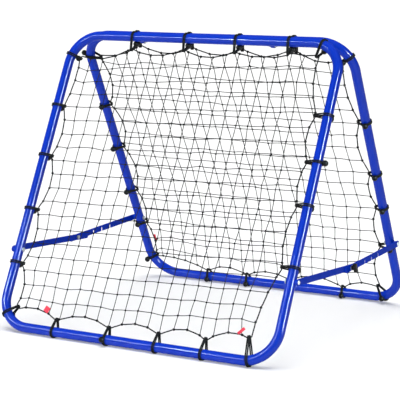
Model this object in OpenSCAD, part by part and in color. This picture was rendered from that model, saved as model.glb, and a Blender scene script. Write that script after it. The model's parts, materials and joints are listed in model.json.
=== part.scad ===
// Folding two-sided ball rebounder.
// Two tube frames are hinged together at the top and lean apart like a tent.
// Each frame carries a net on a border rope, held to the tube by elastic loops with balls.
// A two-bar brace on each side keeps the frames apart, and both braces fold up when it closes.
//
// Millimetres. X runs across the nets, Y from the front net to the rear net, Z up.
// The origin is on the ground, midway between the frames. The model is drawn standing open.

/* [Frames] */
// Width between the centre lines of the two side tubes
frame_width = 970; // [960:1:980]
// Length between the centre lines of the top and bottom tubes
frame_length = 995; // [990:1:1000]
// Outside diameter of the frame tube
tube_d = 30; // [29.6:0.1:30]
// Wall of the frame tube
tube_wall = 1.5; // [1.2:0.1:2]
// Centre-line radius of the four corner bends
bend_r = 100; // [95:1:102]
// Lean of each frame from the vertical
half_angle = 27; // [26.8:0.05:27.1]
// Distance between the centre lines of the two top tubes
top_gap = 46; // [46:0.1:46.6]
// Distance down the side tube to the joint of the two halves
joint_s = 497; // [470:1:530]
// Length of the reduced end that plugs into the lower half
spigot_length = 60; // [30:1:80]

/* [Hinges] */
// Distance of each hinge from the middle
hinge_x = 237; // [230:1:238]
// Drop of the hinge pin below the centre lines of the top tubes
hinge_drop = 12; // [11.8:0.1:12.2]
// Radius of the rounded ends of the hinge ears
ear_r = 10; // [9:0.1:10.2]
// Thickness of the two outer ears
outer_ear_t = 3.2; // [3:0.1:3.6]
// Thickness of the middle ear
middle_ear_t = 6; // [4:0.1:6]

/* [Braces] */
// Distance down the front side tube to the brace bolt
front_bolt_s = 747; // [745:1:749]
// Distance down the rear side tube to the brace bolt
rear_bolt_s = 757; // [755:1:759]
// Distance of the clamp in front of the middle
clamp_forward = 0; // [-1:1:1]
// Height of the clamp above the ground
clamp_z = 217; // [216:1:218]
// Width of the bars
bar_w = 20; // [18:0.5:20]
// Thickness of the bars
bar_t = 3.5; // [3:0.1:3.5]
// Length of the front bar past the clamp
front_bar_tail = 64; // [54:1:66]
// Length of the rear bar past the clamp
rear_bar_tail = 42; // [32:1:44]
// Number of notches in the lower edge of the rear bar
notch_count = 5; // [3:1:5]
// Distance between notches
notch_pitch = 52; // [45:1:54]

/* [Nets] */
// Square openings along each side of the net
net_cells = 13; // [8:1:13]
// Width of a net strand
strand_w = 2.5; // [2:0.1:3]
// Thickness of a net strand
strand_t = 2; // [1:0.1:2.5]
// Diameter of the border rope
rope_d = 4; // [3.5:0.1:4]

/* [Elastic loops] */
// Thickness of the elastic cord
cord_d = 4.5; // [4:0.1:4.5]
// Width of the two cords side by side
band_w = 9; // [7:0.1:9]
// Diameter of the balls
ball_d = 19; // [17:0.1:19]
// Thickness of the cords squeezed between the bottom tubes and the ground
squeezed_cord = 3.2; // [2.8:0.1:4]

/* [Hidden] */
$fn = 64;

// Round parts and fasteners
bolt_r = 4;
hole_r = 4.05;
nut_af = 13;
nut_h = 6.8;
thin_nut_h = 4;
head_h = 5.3;
washer_r = 8;
washer_t = 1.6;
clearance = 0.3;

// Frames
half_w = frame_width / 2;
tube_r = tube_d / 2;
bore_d = tube_d - 2 * tube_wall;
spigot_d = bore_d - 0.1;
spigot_bore = spigot_d - 2 * tube_wall;
top_z = squeezed_cord + tube_r + frame_length * cos(half_angle);
pivot_z = top_z - hinge_drop;

// Hinge stack, measured along X from the middle of each hinge
ear_in = middle_ear_t / 2 + 0.5;
ear_out = ear_in + outer_ear_t;
washer_out = ear_out + washer_t;

// Brace layers, measured along X from the middle of the object
leg_face = half_w + tube_r;
front_bar_x = leg_face + 5.3;
rear_bar_x = front_bar_x + bar_t + clearance;
rear_bar_out = rear_bar_x + bar_t;
clamp_washer_t = 1.4;
knob_x = rear_bar_out + clamp_washer_t + clearance;
knob_out = knob_x + 16;
stud_out = knob_x + 12;

// Brace pivots, as [Y, Z]
front_bolt = leg_point(-1, front_bolt_s);
rear_bolt = leg_point(1, rear_bolt_s);
clamp = [-clamp_forward, clamp_z];
notch_r = bolt_r + 0.2;

// Elastic loops
band_in = tube_r + 0.15;
band_out = band_in + cord_d;
band_mid = band_in + cord_d / 2;
eye_in = rope_d / 2 + 0.1;
eye_out = eye_in + cord_d;
eye_mid = eye_in + cord_d / 2;
ball_r = ball_d / 2;
ball_at = tube_r + clearance + ball_r;
hook_half = 8;
rope_sides = 8;
bow_steps = 3;
hook_clear = 11;

// Where each elastic loop sits, clockwise from the top left corner as seen from outside:
// [way to the net's middle in degrees, place along a straight tube, tube centre to rope,
//  inward bow of the rope up to the next loop, ball's place round the tube].
// The way is 0 on the left tube, 90 on the top, 180 on the right, 270 on the bottom
// and between those on a bend. The ball's place is 90 on the side that faces the other frame.
front_loops = [
    [17, 0, 40, 19, 45],
    [90, -256, 44, 19, 48], [90, -61, 40, 20, 50], [90, 123, 41, 15, 50], [90, 306, 34, 4, 50],
    [110.5, 0, 40, 13, 60],
    [180, 233, 41, 15, 90], [180, 381, 36, 11, 180], [180, 517, 36, 14, 90], [180, 707, 39, 10, 90],
    [258, 0, 69, 16, 80],
    [270, 253.5, 46, 20, 80], [270, 93, 42, 19, 80], [270, -83, 38, 20, 255], [270, -276, 39, 15, 80],
    [322, 0, 40, 15, 90],
    [0, 792, 30, 18, 90], [0, 609, 32, 21, 90], [0, 426, 31, 16, 90], [0, 252, 28, 7, 90]
];
rear_loops = [
    [13, 0, 39, 14, 180],
    [90, -274, 37, 24, 20], [90, -77, 38, 22, 20], [90, 106, 38, 23, 20], [90, 295, 39, 20, 20],
    [152, 0, 34, 14, 30],
    [180, 285, 25, 20, 105], [180, 481, 24, 13, 100], [180, 613, 24, 15, 105], [180, 770, 38, 19, 105],
    [245.5, 0, 43, 15, 80],
    [270, 273.5, 26, 26, 80], [270, 73, 30, 20, 80], [270, -97, 30, 21, 80], [270, -256, 29, 14, 80],
    [341, 0, 25, 10, 120],
    [0, 772, 25, 12, 90], [0, 630, 25, 22, 105], [0, 446, 25, 26, 105], [0, 272, 25, 23, 90]
];
ground_way = 270;

// Net strands, measured in the plane of a frame
net_half_w = half_w - 60;
net_top_s = 70;
net_bottom_s = frame_length - 83;

// Blank tags, as [X, distance down the frame, turn, length, width]; the narrow ones are folded
front_tags_at = [[-320, 929, 26, 20, 19], [364, 911, -45, 26, 8]];
rear_tags_at = [[-448, 847, 94, 32, 8]];
tag_t = 0.8;

frame_blue = [0.08, 0.22, 0.82];
zinc = [0.74, 0.75, 0.77];
dark_zinc = [0.55, 0.56, 0.58];
cord_black = [0.06, 0.06, 0.07];
net_grey = [0.16, 0.16, 0.17];
plastic_black = [0.08, 0.08, 0.09];
tag_red = [0.90, 0.12, 0.22];

// ---------- places ----------

// [Y, Z] of a point on a side tube; way is -1 on the front frame and 1 on the rear one.
function leg_point(way, s) = [
    way * (top_gap / 2 + s * sin(half_angle)),
    top_z - s * cos(half_angle)
];

// Puts children in the plane of the front frame: X across, -Z down the frame, +Y inward.
module front_plane() {
    translate([0, -top_gap / 2, top_z]) rotate([-half_angle, 0, 0]) children();
}

module rear_plane() {
    mirror([0, 1, 0]) front_plane() children();
}

module both_sides() {
    children();
    mirror([1, 0, 0]) children();
}

// Turns a flat shape drawn in [Y, Z] upright and gives it a thickness along +X.
module plate(x, t) {
    translate([x, 0, 0]) rotate([90, 0, 90]) linear_extrude(height = t) children();
}

// Puts children, drawn along +Z, on an axis along +X through [Y, Z].
module along_x(x, at) {
    translate([x, at[0], at[1]]) rotate([0, 90, 0]) children();
}

// ---------- frame tubes ----------

// A rod bent to a U, open downward, whose legs end at the given distance from the top line.
module bent_rod(d, leg) {
    translate([-(half_w - bend_r), 0, 0])
        rotate([0, 90, 0])
            cylinder(d = d, h = frame_width - 2 * bend_r);
    both_sides() {
        translate([half_w - bend_r, 0, -bend_r])
            rotate([90, 0, 0])
                rotate_extrude(angle = 90)
                    translate([bend_r, 0]) circle(d = d);
        translate([half_w, 0, -leg]) cylinder(d = d, h = leg - bend_r);
    }
}

// Upper half of a frame, with a reduced end on each leg.
module upper_tube() {
    difference() {
        union() {
            bent_rod(tube_d, joint_s);
            both_sides()
                translate([half_w, 0, -joint_s - spigot_length])
                    cylinder(d = spigot_d, h = spigot_length + 1);
        }
        bent_rod(bore_d, joint_s - 10);
        both_sides()
            translate([half_w, 0, -joint_s - spigot_length - 1])
                cylinder(d = spigot_bore, h = spigot_length + 12);
    }
}

// Lower half of a frame, drilled across both legs for the brace bolts.
module lower_tube(bolt_s) {
    leg = frame_length - joint_s;
    difference() {
        translate([0, 0, -frame_length]) mirror([0, 0, 1]) {
            difference() {
                bent_rod(tube_d, leg);
                bent_rod(bore_d, leg);
                both_sides() translate([half_w, 0, -leg - 1]) cylinder(d = bore_d, h = 2);
            }
        }
        both_sides()
            along_x(half_w - tube_d, [0, -bolt_s])
                cylinder(r = hole_r, h = 2 * tube_d);
    }
}

// ---------- hinges ----------

// Outline in [Y, Z] of an ear on the front tube, reaching to the hinge pin.
module ear_outline() {
    reach = norm([top_gap / 2, hinge_drop]);
    difference() {
        union() {
            translate([0, pivot_z]) circle(r = ear_r);
            translate([-top_gap / 2, top_z])
                rotate(-atan2(hinge_drop, top_gap / 2))
                    translate([0, -ear_r]) square([reach, 2 * ear_r]);
        }
        translate([-top_gap / 2, top_z]) circle(r = tube_r);
        translate([0, pivot_z]) circle(r = hole_r);
    }
}

module front_hinge_lugs() {
    color(frame_blue)
        both_sides() {
            plate(hinge_x + ear_in, outer_ear_t) ear_outline();
            plate(hinge_x - ear_out, outer_ear_t) ear_outline();
        }
}

module rear_hinge_lugs() {
    color(frame_blue)
        mirror([0, 1, 0])
            both_sides()
                plate(hinge_x - middle_ear_t / 2, middle_ear_t) ear_outline();
}

module hinge_bolts() {
    color(zinc)
        both_sides() {
            along_x(hinge_x + washer_out, [0, pivot_z]) hex_prism(head_h);
            along_x(hinge_x - washer_out - nut_h - 2, [0, pivot_z])
                cylinder(r = bolt_r, h = 2 * washer_out + nut_h + 3);
        }
}

module hinge_nuts() {
    color(zinc)
        both_sides()
            along_x(hinge_x - washer_out - nut_h, [0, pivot_z]) hex_nut(nut_h);
}

module hinge_washers() {
    color(zinc)
        both_sides() {
            along_x(hinge_x + ear_out, [0, pivot_z]) washer(washer_t);
            along_x(hinge_x - washer_out, [0, pivot_z]) washer(washer_t);
        }
}

// ---------- fasteners ----------

module hex_prism(h) {
    linear_extrude(height = h) circle(d = nut_af / cos(30), $fn = 6);
}

module hex_nut(h) {
    difference() {
        hex_prism(h);
        translate([0, 0, -1]) cylinder(r = bolt_r, h = h + 2);
    }
}

module washer(t) {
    difference() {
        cylinder(r = washer_r, h = t);
        translate([0, 0, -1]) cylinder(r = hole_r, h = t + 2);
    }
}

// Low domed head standing on Z = 0.
module dome_head() {
    dome_r = 9;
    intersection() {
        cylinder(r = 7, h = 4);
        translate([0, 0, 4 - dome_r]) sphere(r = dome_r);
    }
}

// ---------- braces ----------

// Bolt through a right-hand side tube: domed head outside the bar, plain end inside.
module brace_bolt(at, bar_x) {
    head_x = bar_x + bar_t + clearance;
    start_x = half_w - tube_r - thin_nut_h - 1;
    along_x(head_x, at) dome_head();
    along_x(start_x, at) cylinder(r = bolt_r, h = head_x - start_x + 1);
}

// Sleeve between the tube and the bar, hollowed to sit on the round tube.
module brace_spacer(way, at, bar_x) {
    difference() {
        along_x(leg_face - 3, at) washer(bar_x - clearance - leg_face + 3);
        translate([half_w, at[0], at[1]])
            rotate([way * half_angle, 0, 0])
                cylinder(r = tube_r, h = 60, center = true);
    }
}

module brace_nut(at) {
    along_x(half_w - tube_r - thin_nut_h, at) hex_nut(thin_nut_h);
}

// A flat bar drawn along +X from its pivot, with round ends.
module bar_outline(clamp_at, tail) {
    difference() {
        union() {
            circle(d = bar_w);
            translate([0, -bar_w / 2]) square([clamp_at + tail - bar_w / 2, bar_w]);
            translate([clamp_at + tail - bar_w / 2, 0]) circle(d = bar_w);
        }
        circle(r = hole_r);
    }
}

// Places a bar drawn along +X so that it runs from one [Y, Z] point towards another.
module aim(from, to) {
    translate(from) rotate(atan2(to[1] - from[1], to[0] - from[0])) children();
}

module front_brace() {
    reach = norm(clamp - front_bolt);
    plate(front_bar_x, bar_t)
        aim(front_bolt, clamp)
            difference() {
                bar_outline(reach, front_bar_tail);
                translate([reach, 0]) circle(r = hole_r);
            }
}

module rear_brace() {
    reach = norm(clamp - rear_bolt);
    plate(rear_bar_x, bar_t)
        aim(rear_bolt, clamp)
            difference() {
                bar_outline(reach, rear_bar_tail);
                for (i = [0:notch_count - 1])
                    translate([reach - i * notch_pitch, 0]) {
                        circle(r = notch_r);
                        translate([-notch_r, 0]) square([2 * notch_r, bar_w]);
                    }
            }
}

// Inner half of the clamp bolt, through the front bar.
module clamp_bolt() {
    along_x(front_bar_x - 4.5, clamp) cylinder(r = 6.5, h = 4.5);
    along_x(front_bar_x - 1, clamp) cylinder(r = bolt_r, h = bar_t + 1);
}

// Outer half of the clamp bolt, through a notch of the rear bar and into the knob.
module clamp_stud() {
    along_x(rear_bar_x, clamp) cylinder(r = bolt_r, h = stud_out - rear_bar_x);
}

module clamp_washer() {
    along_x(rear_bar_out, clamp)
        difference() {
            cylinder(r = washer_r, h = clamp_washer_t);
            translate([0, 0, -1]) cylinder(r = bolt_r, h = clamp_washer_t + 2);
        }
}

// Wing knob on the stud; turn 0 stands the wing upright.
module clamp_knob(turn) {
    wing_l = 33;
    wing_w = 11;
    wing_h = 10;
    along_x(knob_x, clamp)
        rotate([0, 0, turn])
            difference() {
                union() {
                    cylinder(d = 14, h = 8);
                    translate([0, 0, knob_out - knob_x - wing_h])
                        linear_extrude(height = wing_h) {
                            square([wing_l - wing_w, wing_w], center = true);
                            for (end = [-1, 1])
                                translate([end * (wing_l - wing_w) / 2, 0]) circle(d = wing_w);
                        }
                }
                translate([0, 0, -1]) cylinder(r = hole_r, h = stud_out - knob_x + 2);
            }
}

// ---------- elastic loops, border rope and net ----------

function is_bend(way) = way % 90 != 0;

// Unit vector from a tube to the net's middle, as [X, Z] in the frame plane.
function inward(way) = [cos(way), -sin(way)];

// Unit vector along a tube, clockwise round the frame.
function onward(way) = [sin(way), cos(way)];

function bend_centre(way) = [
    (way > 90 && way < 270 ? 1 : -1) * (half_w - bend_r),
    way < 180 ? -bend_r : bend_r - frame_length
];

// Point of the tube's centre line where a loop sits, as [X, Z] in the frame plane.
function tube_point(loop) =
    is_bend(loop[0]) ? bend_centre(loop[0]) - bend_r * inward(loop[0]) :
    loop[0] == 0 ? [-half_w, -loop[1]] :
    loop[0] == 90 ? [loop[1], 0] :
    loop[0] == 180 ? [half_w, -loop[1]] :
    [loop[1], -frame_length];

function hook_point(loop) = tube_point(loop) + loop[2] * inward(loop[0]);

// The rope runs straight through each hook and bows inward between two of them.
function rope_start(loop) = hook_point(loop) + hook_half * onward(loop[0]);
function rope_end(loop) = hook_point(loop) - hook_half * onward(loop[0]);

// Point on the bow from p to q, as a share of the way along it.
function bow_point(p, q, bow, share) =
    p + share * (q - p) + 4 * bow * share * (1 - share) * [(q - p)[1], -(q - p)[0]] / norm(q - p);

// Corners of the rope's centre line, clockwise, as [X, Z] in the frame plane.
function rope_route(loops) = [
    for (i = [0:len(loops) - 1])
        let (
            next = loops[(i + 1) % len(loops)],
            p = rope_start(loops[i]),
            q = rope_end(next)
        )
            each [
                rope_end(loops[i]),
                p,
                for (k = [1:bow_steps - 1]) bow_point(p, q, loops[i][3], k / bow_steps)
            ]
];

// Faces of a closed tube made of rings with the same number of points each.
function tube_faces(rings, sides) = [
    for (i = [0:rings - 1], j = [0:sides - 1])
        let (
            a = i * sides + j,
            b = i * sides + (j + 1) % sides,
            c = ((i + 1) % rings) * sides + (j + 1) % sides,
            d = ((i + 1) % rings) * sides + j
        )
            each [[a, b, c], [a, c, d]]
];

module border_rope(loops) {
    route = rope_route(loops);
    count = len(route);
    points = [
        for (i = [0:count - 1])
            let (
                heading = route[(i + 1) % count] - route[(i + count - 1) % count],
                side = [heading[1], -heading[0]] / norm(heading)
            )
                for (j = [0:rope_sides - 1])
                    let (
                        turn = 360 * (j + 0.5) / rope_sides,
                        out = rope_d / 2 * cos(turn)
                    )
                        [route[i][0] + out * side[0], rope_d / 2 * sin(turn), route[i][1] + out * side[1]]
    ];
    polyhedron(points, tube_faces(count, rope_sides));
}

// A closed clockwise route moved inward, keeping its corners sharp.
function inset(route, by) = [
    for (i = [0:len(route) - 1])
        let (
            arriving = route[i] - route[(i + len(route) - 1) % len(route)],
            leaving = route[(i + 1) % len(route)] - route[i],
            u = arriving / norm(arriving),
            v = leaving / norm(leaving)
        )
            route[i] + by / (1 + u * v) * [u[1] + v[1], -u[0] - v[0]]
];

// Area inside the border rope, in [X, Z] of the frame plane, clear of the elastic loops.
module net_area(loops) {
    difference() {
        polygon(inset(rope_route(loops), rope_d / 2));
        for (loop = loops) translate(hook_point(loop)) circle(r = hook_clear, $fn = 8);
    }
}

module net(loops) {
    step_x = 2 * net_half_w / net_cells;
    step_s = (net_bottom_s - net_top_s) / net_cells;
    rotate([90, 0, 0])
        linear_extrude(height = strand_t, center = true)
            intersection() {
                net_area(loops);
                union() {
                    for (i = [0:net_cells]) {
                        translate([-net_half_w + i * step_x - strand_w / 2, -frame_length])
                            square([strand_w, frame_length]);
                        translate([-half_w, -net_top_s - i * step_s - strand_w / 2])
                            square([frame_width, strand_w]);
                    }
                }
            }
}

// Puts children on the tube at a loop: +X to the net, +Y inward, +Z along the tube.
module at_loop(loop) {
    at = tube_point(loop);
    translate([at[0], 0, at[1]]) rotate([0, loop[0], 0]) children();
}

module ball(loop) {
    at_loop(loop)
        translate([ball_at * cos(loop[4]), ball_at * sin(loop[4]), 0])
            sphere(r = ball_r);
}

// Slice of a ring between two angles.
module ring_slice(inner, outer, from, to) {
    steps = 4;
    far = 4 * outer;
    intersection() {
        difference() {
            circle(r = outer);
            circle(r = inner);
        }
        polygon([
            [0, 0],
            for (k = [0:steps])
                let (turn = from + (to - from) * k / steps) far * [cos(turn), sin(turn)]
        ]);
    }
}

// Flat strip of a given width between two points.
module strip(from, to, width) {
    translate(from)
        rotate(atan2(to[1] - from[1], to[0] - from[0]))
            translate([0, -width / 2]) square([norm(to - from), width]);
}

// Straight stretch of cord that runs a little way into the rounds at its ends.
module cord_strip(from, to) {
    ahead = (to - from) / norm(to - from);
    strip(from - 1.5 * ahead, to + ahead, cord_d - 0.2);
}

// Outline of one elastic loop: from the ball round the tube, round the rope, back to the ball.
module loop_outline(gap, ball_turn) {
    tangent = acos((band_mid - eye_mid) / gap);
    eye = [gap, 0];
    to_ball = ball_at * [cos(ball_turn), sin(ball_turn)] - eye;
    ring_slice(band_in, band_out, ball_turn + 8, 366 - tangent);
    cord_strip(band_mid * [cos(tangent), -sin(tangent)], eye + eye_mid * [cos(tangent), -sin(tangent)]);
    difference() {
        translate(eye) circle(r = eye_out);
        translate(eye) circle(r = eye_in);
    }
    if (ball_turn > 90) {
        cord_strip(band_mid * [cos(tangent), sin(tangent)], eye + eye_mid * [cos(tangent), sin(tangent)]);
        ring_slice(band_in, band_out, tangent - 6, ball_turn - 8);
    } else {
        back = atan2(to_ball[1], to_ball[0]) - acos(eye_mid / norm(to_ball));
        leave = eye + eye_mid * [cos(back), sin(back)];
        cord_strip(leave, leave + (norm(to_ball) - 4) * [cos(back + 90), sin(back + 90)]);
    }
}

module elastic_loop(loop) {
    difference() {
        at_loop(loop)
            translate([0, 0, -band_w / 2])
                linear_extrude(height = band_w) loop_outline(loop[2], loop[4]);
        ball(loop);
    }
}

module elastic_loops(loops) {
    for (loop = loops)
        if (loop[0] != ground_way) elastic_loop(loop);
}

module ground_loops(loops) {
    for (loop = loops)
        if (loop[0] == ground_way) elastic_loop(loop);
}

// Everything below the ground, where the cords are squeezed flat.
module ground() {
    translate([-frame_width, -frame_length, -100]) cube([2 * frame_width, 2 * frame_length, 100]);
}

// Blank tag lying on the outer side of the border rope.
module tag(at) {
    translate([at[0], -rope_d / 2 - tag_t / 2, -at[1]])
        rotate([0, at[2], 0])
            cube([at[3], tag_t, at[4]], center = true);
}

// ---------- nodes ----------

module front_upper_tube() {
    color(frame_blue) front_plane() upper_tube();
}

module front_lower_tube() {
    color(frame_blue) front_plane() lower_tube(front_bolt_s);
}

module rear_upper_tube() {
    color(frame_blue) rear_plane() upper_tube();
}

module rear_lower_tube() {
    color(frame_blue) rear_plane() lower_tube(rear_bolt_s);
}

module front_brace_bolts() {
    color(zinc) both_sides() brace_bolt(front_bolt, front_bar_x);
}

module front_brace_nuts() {
    color(zinc) both_sides() brace_nut(front_bolt);
}

module front_brace_spacers() {
    color(frame_blue) both_sides() brace_spacer(-1, front_bolt, front_bar_x);
}

module rear_brace_bolts() {
    color(zinc) both_sides() brace_bolt(rear_bolt, rear_bar_x);
}

module rear_brace_nuts() {
    color(zinc) both_sides() brace_nut(rear_bolt);
}

module rear_brace_spacers() {
    color(frame_blue) both_sides() brace_spacer(1, rear_bolt, rear_bar_x);
}

module front_net() {
    color(net_grey) front_plane() net(front_loops);
}

module rear_net() {
    color(net_grey) rear_plane() net(rear_loops);
}

module front_border_rope() {
    color(cord_black) front_plane() border_rope(front_loops);
}

module rear_border_rope() {
    color(cord_black) rear_plane() border_rope(rear_loops);
}

module front_bungees() {
    color(cord_black) front_plane() elastic_loops(front_loops);
}

module rear_bungees() {
    color(cord_black) rear_plane() elastic_loops(rear_loops);
}

module front_ground_bungees() {
    color(cord_black)
        difference() {
            front_plane() ground_loops(front_loops);
            ground();
        }
}

module rear_ground_bungees() {
    color(cord_black)
        difference() {
            rear_plane() ground_loops(rear_loops);
            ground();
        }
}

module front_bungee_balls() {
    color(plastic_black) front_plane() for (loop = front_loops) ball(loop);
}

module rear_bungee_balls() {
    color(plastic_black) rear_plane() for (loop = rear_loops) ball(loop);
}

module front_tags() {
    color(tag_red) front_plane() for (at = front_tags_at) tag(at);
}

module rear_tag() {
    color(tag_red) rear_plane() for (at = rear_tags_at) tag(at);
}

module right_front_brace() {
    color(frame_blue) front_brace();
}

module right_clamp_bolt() {
    color(dark_zinc) clamp_bolt();
}

module right_rear_brace() {
    color(frame_blue) rear_brace();
}

module right_clamp_stud() {
    color(dark_zinc) clamp_stud();
}

module right_clamp_washer() {
    color(zinc) clamp_washer();
}

module right_clamp_knob() {
    color(plastic_black) clamp_knob(25);
}

module left_front_brace() {
    mirror([1, 0, 0]) right_front_brace();
}

module left_clamp_bolt() {
    mirror([1, 0, 0]) right_clamp_bolt();
}

module left_rear_brace() {
    mirror([1, 0, 0]) right_rear_brace();
}

module left_clamp_stud() {
    mirror([1, 0, 0]) right_clamp_stud();
}

module left_clamp_washer() {
    mirror([1, 0, 0]) right_clamp_washer();
}

module left_clamp_knob() {
    color(plastic_black) mirror([1, 0, 0]) clamp_knob(88);
}

front_upper_tube();
front_lower_tube();
front_hinge_lugs();
hinge_bolts();
hinge_nuts();
hinge_washers();
front_brace_bolts();
front_brace_nuts();
front_brace_spacers();
front_net();
front_border_rope();
front_bungees();
front_ground_bungees();
front_bungee_balls();
front_tags();
rear_upper_tube();
rear_lower_tube();
rear_hinge_lugs();
rear_brace_bolts();
rear_brace_nuts();
rear_brace_spacers();
rear_net();
rear_border_rope();
rear_bungees();
rear_ground_bungees();
rear_bungee_balls();
rear_tag();
left_front_brace();
left_clamp_bolt();
left_rear_brace();
left_clamp_stud();
left_clamp_washer();
left_clamp_knob();
right_front_brace();
right_clamp_bolt();
right_rear_brace();
right_clamp_stud();
right_clamp_washer();
right_clamp_knob();
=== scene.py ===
"""Builds the finished look of a folding two-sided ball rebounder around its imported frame.

Lengths are in metres. Each net frame is drawn flat first: X across it, Z up along it, Y toward the
other frame, with its top tube on the X axis. It is then tilted into place.
"""

import json
import math
import random
from collections import namedtuple
from contextlib import contextmanager

import bpy
from bpy.props import FloatProperty, FloatVectorProperty, PointerProperty
from mathutils import Matrix, Vector


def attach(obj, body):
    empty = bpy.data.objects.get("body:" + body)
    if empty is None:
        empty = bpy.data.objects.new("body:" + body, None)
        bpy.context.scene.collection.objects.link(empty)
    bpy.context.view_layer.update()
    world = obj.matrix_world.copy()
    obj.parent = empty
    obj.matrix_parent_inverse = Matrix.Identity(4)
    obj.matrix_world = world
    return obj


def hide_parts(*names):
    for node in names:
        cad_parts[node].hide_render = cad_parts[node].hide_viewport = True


bl_info = {
    "name": "Ball Rebounder",
    "version": (1, 0, 0),
    "blender": (4, 5, 0),
    "location": "View3D > Sidebar > Rebounder",
    "description": "Models and finishes a folding two-sided ball rebounder",
    "category": "Object",
}

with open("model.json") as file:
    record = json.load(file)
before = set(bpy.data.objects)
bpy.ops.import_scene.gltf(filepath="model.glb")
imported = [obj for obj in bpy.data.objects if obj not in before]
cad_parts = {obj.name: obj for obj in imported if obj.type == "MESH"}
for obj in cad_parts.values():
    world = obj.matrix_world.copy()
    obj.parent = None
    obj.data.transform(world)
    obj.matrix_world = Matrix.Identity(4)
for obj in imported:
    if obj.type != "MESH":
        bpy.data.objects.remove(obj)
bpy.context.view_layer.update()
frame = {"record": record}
BODY_OF = {
    node: body
    for body, nodes in frame["record"]["behaviour"]["bodies"].items()
    for node in nodes
}
MM = 0.001
CLEARANCE = 0.0003

# Mirror images of the right side and of the front, and a turn of a drawing in XY upright into YZ
TO_LEFT = Matrix.Diagonal((-1, 1, 1, 1))
TO_REAR = Matrix.Diagonal((1, -1, 1, 1))
UPRIGHT = Matrix(((0, 0, 1, 0), (1, 0, 0, 0), (0, 1, 0, 0), (0, 0, 0, 1)))

# Frames: two halves each, plugged together at JOINT below the top tube's centre line. The bottom
# tubes rest on elastic cord squeezed to SQUEEZED. RING_GAP is the width of the narrow faces beside
# a bend or a hole, which keep its shading from spreading.
HALF_WIDTH = 0.485
FRAME_LENGTH = 0.995
TUBE_R = 0.015
TUBE_WALL = 0.0015
BEND_R = 0.100
LEAN = math.radians(27)
TOP_GAP = 0.046
JOINT = 0.497
SPIGOT_LENGTH = 0.060
SPIGOT_ROOT = 0.010
SPIGOT_R = 0.01345
JOINT_GAP = 0.0002
SQUEEZED = 0.0032
TOP_Z = SQUEEZED + TUBE_R + FRAME_LENGTH * math.cos(LEAN)
FRONT_PLANE = Matrix.Translation((0, -TOP_GAP / 2, TOP_Z)) @ Matrix.Rotation(-LEAN, 4, "X")
REAR_PLANE = TO_REAR @ FRONT_PLANE
PLANES = {"front": FRONT_PLANE, "rear": REAR_PLANE}
TUBE_SIDES = 48
BEND_STEPS = 24
RING_GAP = 0.003

# Edges sharper than this many degrees are bevelled
SHARP = 40

# Edges sharper than this many degrees stay crisp, so that a small bevel leaves a long face flat
CRISP = 20

# What is joined, welded or cut overlaps by this much
OVERLAP = 0.001

# Hinges. The pivot is (Y, Z), and the ears' faces are measured along X from a hinge's middle.
# The middle of a weld bead lies BEAD_RISE above the tube, BEAD_BESIDE an ear's outer face or
# BEAD_TURN radians from its edge, and there it ends BEAD_INSET short of each face.
HINGE_X = 0.237
PIVOT = (0.0, TOP_Z - 0.012)
EAR_R = 0.010
MIDDLE_EAR = 0.003
EAR_IN = 0.0035
EAR_OUT = 0.0067
WASHER_T = 0.0016
BEAD_R = 0.00135
BEAD_RIPPLE = 0.00018
BEAD_STEP = 0.0004
BEAD_RISE = 0.0004
BEAD_INSET = 0.0003
BEAD_BESIDE = 0.0006
BEAD_TURN = 0.05

# Fasteners
BOLT_R = 0.004
HOLE_R = 0.00405
NUT_FLATS = 0.013
NUT_H = 0.0068
THIN_NUT_H = 0.004
HEAD_H = 0.0053
WASHER_R = 0.008
THREAD_PITCH = 0.00125
HINGE_THREAD = 0.012
BRACE_THREAD = 0.010
STUD_PLAIN = 0.005

# Braces: layers along X, end bolts by their distance down a side tube, the clamp as (Y, Z). A
# tail is what a bar reaches past the clamp, and the saddle what a sleeve reaches over the tube.
LEG_FACE = HALF_WIDTH + TUBE_R
STAND_OFF = 0.0053
FRONT_BAR_X = LEG_FACE + STAND_OFF
BAR_T = 0.0035
REAR_BAR_X = FRONT_BAR_X + BAR_T + CLEARANCE
REAR_BAR_OUT = REAR_BAR_X + BAR_T
CLAMP_HEAD_R = 0.0065
CLAMP_HEAD_H = 0.0045
CLAMP_WASHER_T = 0.0014
KNOB_X = REAR_BAR_OUT + CLAMP_WASHER_T + CLEARANCE
STUD_REACH = 0.012
FRONT_BOLT_S = 0.747
REAR_BOLT_S = 0.757
CLAMP = (0.0, 0.217)
BAR_W = 0.020
FRONT_TAIL = 0.064
REAR_TAIL = 0.042
NOTCHES = 5
NOTCH_PITCH = 0.052
NOTCH_R = 0.0042
SADDLE = 0.003

# Wing knobs, each turned by its degrees, with a rounded wing that is waisted at the boss
KNOB_TURNS = {"right": 25, "left": 88}
WING_HALF_L = 0.011
WING_HALF_W = 0.0055
WAIST_HALF_L = 0.003
WAIST_HALF_W = 0.0046
WING_LOW = 0.006
WING_H = 0.010

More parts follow.
